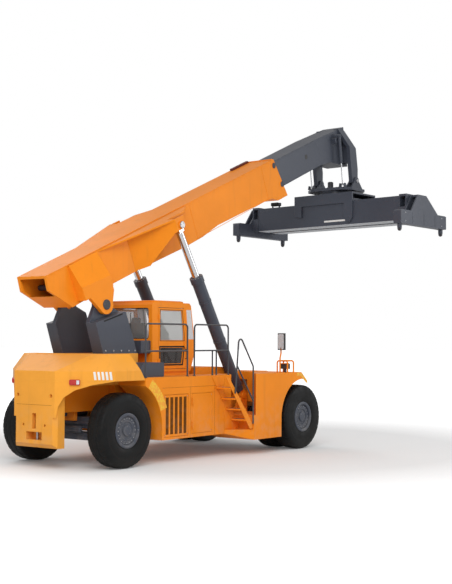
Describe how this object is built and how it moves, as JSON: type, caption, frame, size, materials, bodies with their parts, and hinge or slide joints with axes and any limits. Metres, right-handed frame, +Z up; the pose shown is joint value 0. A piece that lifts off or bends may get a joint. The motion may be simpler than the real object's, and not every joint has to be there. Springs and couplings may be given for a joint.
{
  "type": "reach stacker",
  "caption": "Container reach stacker with telescopic boom, slewing side-shift spreader at twenty feet, steerable rear axle, twin drive wheels and a fixed centre cab.",
  "frame": {"origin": "on the ground, half way along the machine as parked, on its middle plane", "axes": "+X forward towards the spreader, +Y to the left, +Z up"},
  "size_m": [13.7457, 6.2268, 9.1698],
  "materials": {
    "orange_paint": "gloss, weathered at edges",
    "grey_paint": "satin",
    "dark_rail_paint": "satin",
    "tyre_rubber": "matt",
    "chromed_rod": "polished",
    "cast_grey": "satin",
    "cab_glass_tint": "clear",
    "black_plastic": "matt",
    "seat_fabric": "woven",
    "lamp_lens": "clear",
    "engine_block": "matt"
  },
  "bodies": {
    "chassis": {"main_frame": "orange_paint", "engine": "engine_block", "counterweight": "orange_paint", "rear_body": "orange_paint", "side_bodies": "orange_paint", "louvre_panels": "orange_paint", "front_fenders": "orange_paint", "front_deck": "orange_paint", "boom_towers": "grey_paint", "steer_axle": "grey_paint", "drive_axle": "grey_paint", "cab_shell": "orange_paint", "cab_base": "orange_paint", "cab_glass": "cab_glass_tint", "operator_seat": "black_plastic", "seat_cushion": "seat_fabric", "steering_console": "black_plastic", "boarding_steps": "orange_paint", "handrails": "dark_rail_paint", "cooler_box": "grey_paint", "lamps": "lamp_lens", "fender_fittings": "orange_paint"},
    "right_cab_door": {"cab_door_right": "orange_paint", "door_glass_right": "cab_glass_tint"},
    "left_cab_door": {"cab_door_left": "orange_paint", "door_glass_left": "cab_glass_tint"},
    "right_service_door": {"service_door_right": "orange_paint"},
    "left_service_door": {"service_door_left": "orange_paint"},
    "right_knuckle": {"knuckle_right": "grey_paint"},
    "left_knuckle": {"knuckle_left": "grey_paint"},
    "steering_piston": {"steering_rod": "chromed_rod"},
    "right_steer_wheel": {"steer_rim_right": "grey_paint", "steer_tyre_right": "tyre_rubber"},
    "left_steer_wheel": {"steer_rim_left": "grey_paint", "steer_tyre_left": "tyre_rubber"},
    "right_drive_wheel": {"drive_rims_right": "grey_paint", "drive_tyres_right": "tyre_rubber"},
    "left_drive_wheel": {"drive_rims_left": "grey_paint", "drive_tyres_left": "tyre_rubber"},
    "boom": {"outer_boom": "orange_paint", "boom_feet": "orange_paint", "lift_brackets": "orange_paint", "telescope_barrel": "grey_paint"},
    "telescope": {"inner_boom": "grey_paint", "boom_head": "grey_paint"},
    "right_lift_barrel": {"lift_barrel_right": "grey_paint"},
    "left_lift_barrel": {"lift_barrel_left": "grey_paint"},
    "right_lift_rod": {"lift_rod_right": "chromed_rod"},
    "left_lift_rod": {"lift_rod_left": "chromed_rod"},
    "damper_bodies": {"damper_barrels": "grey_paint"},
    "damper_pistons": {"damper_rods": "chromed_rod"},
    "hanging_frame": {"hanger": "grey_paint"},
    "turning_frame": {"slew_frame": "grey_paint"},
    "spreader": {"spreader_beam": "grey_paint"},
    "right_arm": {"spreader_arm_right": "grey_paint"},
    "left_arm": {"spreader_arm_left": "grey_paint"},
    "front_left_lock": {"twistlock_front_left": "cast_grey"},
    "front_right_lock": {"twistlock_front_right": "cast_grey"},
    "rear_left_lock": {"twistlock_rear_left": "cast_grey"},
    "rear_right_lock": {"twistlock_rear_right": "cast_grey"}
  },
  "joints": [
    {"name": "boom_luff", "type": "hinge", "parent": "chassis", "child": "boom", "pos_m": [-5.29, 0, 3.52], "axis": [0, -1, 0], "range_deg": [-23.3, 36.7]},
    {"name": "telescope_slide", "type": "slide", "parent": "boom", "child": "telescope", "axis": [0.9184, 0, 0.3955], "range_m": [0, 6.5]},
    {"name": "right_lift_pivot", "type": "hinge", "parent": "chassis", "child": "right_lift_barrel", "pos_m": [-0.65, -0.907, 1.35], "axis": [0, -1, 0], "range_deg": [-4.11, 6.19]},
    {"name": "right_lift_stroke", "type": "slide", "parent": "right_lift_barrel", "child": "right_lift_rod", "axis": [-0.5206, 0, 0.8538], "range_m": [-1.1261, 1.7623]},
    {"name": "left_lift_pivot", "type": "hinge", "parent": "chassis", "child": "left_lift_barrel", "pos_m": [-0.65, 0.907, 1.35], "axis": [0, -1, 0], "range_deg": [-4.11, 6.19]},
    {"name": "left_lift_stroke", "type": "slide", "parent": "left_lift_barrel", "child": "left_lift_rod", "axis": [-0.5206, 0, 0.8538], "range_m": [-1.1261, 1.7623]},
    {"name": "damper_pivot", "type": "hinge", "parent": "telescope", "child": "damper_bodies", "pos_m": [4.73484, 0, 8.78969], "axis": [0, -1, 0], "range_deg": [-0.68, 0.62]},
    {"name": "damper_stroke", "type": "slide", "parent": "damper_bodies", "child": "damper_pistons", "axis": [0.1375, 0, -0.9905], "range_m": [-0.3531, 0.2315]},
    {"name": "hanger_swing", "type": "hinge", "parent": "telescope", "child": "hanging_frame", "pos_m": [5.44984, 0, 7.52469], "axis": [0, -1, 0], "range_deg": [-37, 23.6]},
    {"name": "slew", "type": "hinge", "parent": "hanging_frame", "child": "turning_frame", "pos_m": [5.44984, 0, 7.12469], "axis": [0, 0, 1], "range_deg": [-95, 185]},
    {"name": "side_shift", "type": "slide", "parent": "turning_frame", "child": "spreader", "axis": [0.0576, 0.9983, 0], "range_m": [-0.8, 0.8]},
    {"name": "right_arm_slide", "type": "slide", "parent": "spreader", "child": "right_arm", "axis": [-0.0576, -0.9983, 0], "range_m": [0, 3.066]},
    {"name": "left_arm_slide", "type": "slide", "parent": "spreader", "child": "left_arm", "axis": [0.0576, 0.9983, 0], "range_m": [0, 3.066]},
    {"name": "rear_right_lock_turn", "type": "hinge", "parent": "right_arm", "child": "rear_right_lock", "pos_m": [4.15375, -2.85663, 5.99969], "axis": [0, 0, 1], "range_deg": [0, 90]},
    {"name": "front_right_lock_turn", "type": "hinge", "parent": "right_arm", "child": "front_right_lock", "pos_m": [6.409, -2.98667, 5.99969], "axis": [0, 0, 1], "range_deg": [0, 90]},
    {"name": "rear_left_lock_turn", "type": "hinge", "parent": "left_arm", "child": "rear_left_lock", "pos_m": [4.49067, 2.98667, 5.99969], "axis": [0, 0, 1], "range_deg": [0, 90]},
    {"name": "front_left_lock_turn", "type": "hinge", "parent": "left_arm", "child": "front_left_lock", "pos_m": [6.74592, 2.85663, 5.99969], "axis": [0, 0, 1], "range_deg": [0, 90]},
    {"name": "right_steer", "type": "hinge", "parent": "chassis", "child": "right_knuckle", "pos_m": [-5.49, -1, 0.8075], "axis": [0, 0, 1], "range_deg": [-50, 50]},
    {"name": "right_steer_wheel_roll", "type": "hinge", "parent": "right_knuckle", "child": "right_steer_wheel", "pos_m": [-5.49, -1.315, 0.8075], "axis": [0, 1, 0], "continuous": true},
    {"name": "right_drive_wheel_roll", "type": "hinge", "parent": "chassis", "child": "right_drive_wheel", "pos_m": [0.51, -1.5, 0.8075], "axis": [0, 1, 0], "continuous": true},
    {"name": "left_steer", "type": "hinge", "parent": "chassis", "child": "left_knuckle", "pos_m": [-5.49, 1, 0.8075], "axis": [0, 0, 1], "range_deg": [-50, 50]},
    {"name": "left_steer_wheel_roll", "type": "hinge", "parent": "left_knuckle", "child": "left_steer_wheel", "pos_m": [-5.49, 1.315, 0.8075], "axis": [0, 1, 0], "continuous": true},
    {"name": "left_drive_wheel_roll", "type": "hinge", "parent": "chassis", "child": "left_drive_wheel", "pos_m": [0.51, 1.5, 0.8075], "axis": [0, 1, 0], "continuous": true},
    {"name": "steering_stroke", "type": "slide", "parent": "chassis", "child": "steering_piston", "axis": [0, 1, 0], "range_m": [-0.1697, 0.1697]},
    {"name": "right_cab_door_hinge", "type": "hinge", "parent": "chassis", "child": "right_cab_door", "pos_m": [-3.64, -0.7943, 2.7], "axis": [0, 0, -1], "range_deg": [0, 45]},
    {"name": "right_service_door_hinge", "type": "hinge", "parent": "chassis", "child": "right_service_door", "pos_m": [-3.39, -1.617, 1.07], "axis": [0, 0, -1], "range_deg": [0, 120]},
    {"name": "left_cab_door_hinge", "type": "hinge", "parent": "chassis", "child": "left_cab_door", "pos_m": [-3.64, 0.7943, 2.7], "axis": [0, 0, 1], "range_deg": [0, 45]},
    {"name": "left_service_door_hinge", "type": "hinge", "parent": "chassis", "child": "left_service_door", "pos_m": [-3.39, 1.617, 1.07], "axis": [0, 0, 1], "range_deg": [0, 120]}
  ],
  "couplings": [
    {"joint": "right_lift_pivot", "follows": "boom_luff", "ratio": 0.155},
    {"joint": "right_lift_stroke", "follows": "boom_luff", "m_per_rad": 2.72},
    {"joint": "left_lift_pivot", "follows": "boom_luff", "ratio": 0.155},
    {"joint": "left_lift_stroke", "follows": "boom_luff", "m_per_rad": 2.72},
    {"joint": "damper_pivot", "follows": "boom_luff", "ratio": -0.005},
    {"joint": "damper_stroke", "follows": "boom_luff", "m_per_rad": -0.52},
    {"joint": "hanger_swing", "follows": "boom_luff", "ratio": -1},
    {"joint": "left_arm_slide", "follows": "right_arm_slide", "ratio": 1},
    {"joint": "front_right_lock_turn", "follows": "rear_right_lock_turn", "ratio": 1},
    {"joint": "rear_left_lock_turn", "follows": "rear_right_lock_turn", "ratio": 1},
    {"joint": "front_left_lock_turn", "follows": "rear_right_lock_turn", "ratio": 1},
    {"joint": "left_steer", "follows": "right_steer", "ratio": 1},
    {"joint": "steering_stroke", "follows": "right_steer", "m_per_rad": -0.18873}
  ]
}
